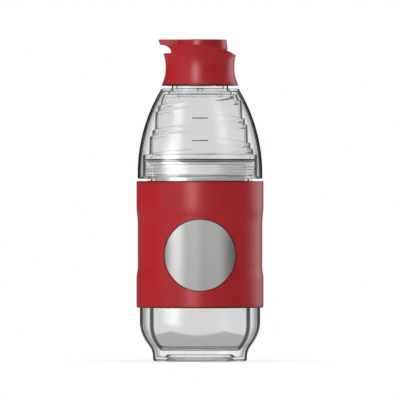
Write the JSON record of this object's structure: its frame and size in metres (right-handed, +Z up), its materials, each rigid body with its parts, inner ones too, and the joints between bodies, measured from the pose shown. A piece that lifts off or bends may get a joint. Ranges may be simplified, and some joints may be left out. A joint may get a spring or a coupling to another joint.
{
  "type": "portable coffee brewing bottle",
  "caption": "Portable pour-over coffee bottle: double-wall clear tumbler in a red silicone sleeve, hanging steel filter, screw-on clear kettle with a stepped inner wall, waisted red cap with a flip lid.",
  "frame": {"origin": "centre of the foot ring, on the surface that the bottle stands on", "axes": "+Z up along the bottle's axis, -Y through the sleeve's round window, -X through the lid's thumb tab, +X through the lid's hinge"},
  "size_m": [0.08, 0.08, 0.2024],
  "materials": {
    "clear_plastic": "clear, polished copolyester",
    "red_silicone": "smooth satin silicone rubber",
    "red_plastic": "satin moulded plastic",
    "insert_plastic": "fine matte moulded plastic",
    "brushed_steel": "vertically brushed stainless steel",
    "steel_mesh": "etched stainless steel sheet with fine holes",
    "pale_silicone": "translucent pale silicone rubber"
  },
  "bodies": {
    "tumbler": {"tumbler_jacket": "clear_plastic", "tumbler_liner": "clear_plastic", "grip_sleeve": "red_silicone", "window_plate": "brushed_steel"},
    "filter": {"filter_flange": "brushed_steel", "filter_wall": "steel_mesh", "filter_disc": "steel_mesh", "filter_base_ring": "brushed_steel"},
    "seal": {"joint_seal": "pale_silicone"},
    "kettle": {"kettle_liner": "clear_plastic", "kettle_dome": "clear_plastic", "shoulder_plug": "clear_plastic"},
    "gasket": {"cap_gasket": "pale_silicone"},
    "cap": {"cap_shell": "red_plastic", "pour_insert": "insert_plastic", "insert_ring": "pale_silicone", "hinge_pin": "brushed_steel"},
    "lid": {"flip_lid": "red_plastic", "spout_stopper": "pale_silicone", "vent_stopper": "pale_silicone"}
  },
  "joints": [
    {"name": "filter_lift", "type": "slide", "parent": "tumbler", "child": "filter", "axis": [0, 0, 1], "range_m": [0, 0.08]},
    {"name": "kettle_rise", "type": "slide", "parent": "filter", "child": "seal", "axis": [0, 0, 1], "range_m": [0, 0.0095]},
    {"name": "kettle_turn", "type": "hinge", "parent": "seal", "child": "kettle", "pos_m": [0, 0, 0.1148], "axis": [0, 0, 1], "range_deg": [0, 960]},
    {"name": "cap_rise", "type": "slide", "parent": "kettle", "child": "gasket", "axis": [0, 0, 1], "range_m": [0, 0.0134]},
    {"name": "cap_turn", "type": "hinge", "parent": "gasket", "child": "cap", "pos_m": [0, 0, 0.1734], "axis": [0, 0, 1], "range_deg": [0, 720]},
    {"name": "lid_flip", "type": "hinge", "parent": "cap", "child": "lid", "pos_m": [0.0193, 0, 0.1924], "axis": [0, 1, 0], "range_deg": [0, 100]}
  ],
  "couplings": [
    {"joint": "kettle_rise", "follows": "kettle_turn", "m_per_rad": 0.00055704},
    {"joint": "cap_rise", "follows": "cap_turn", "m_per_rad": 0.0010504}
  ]
}
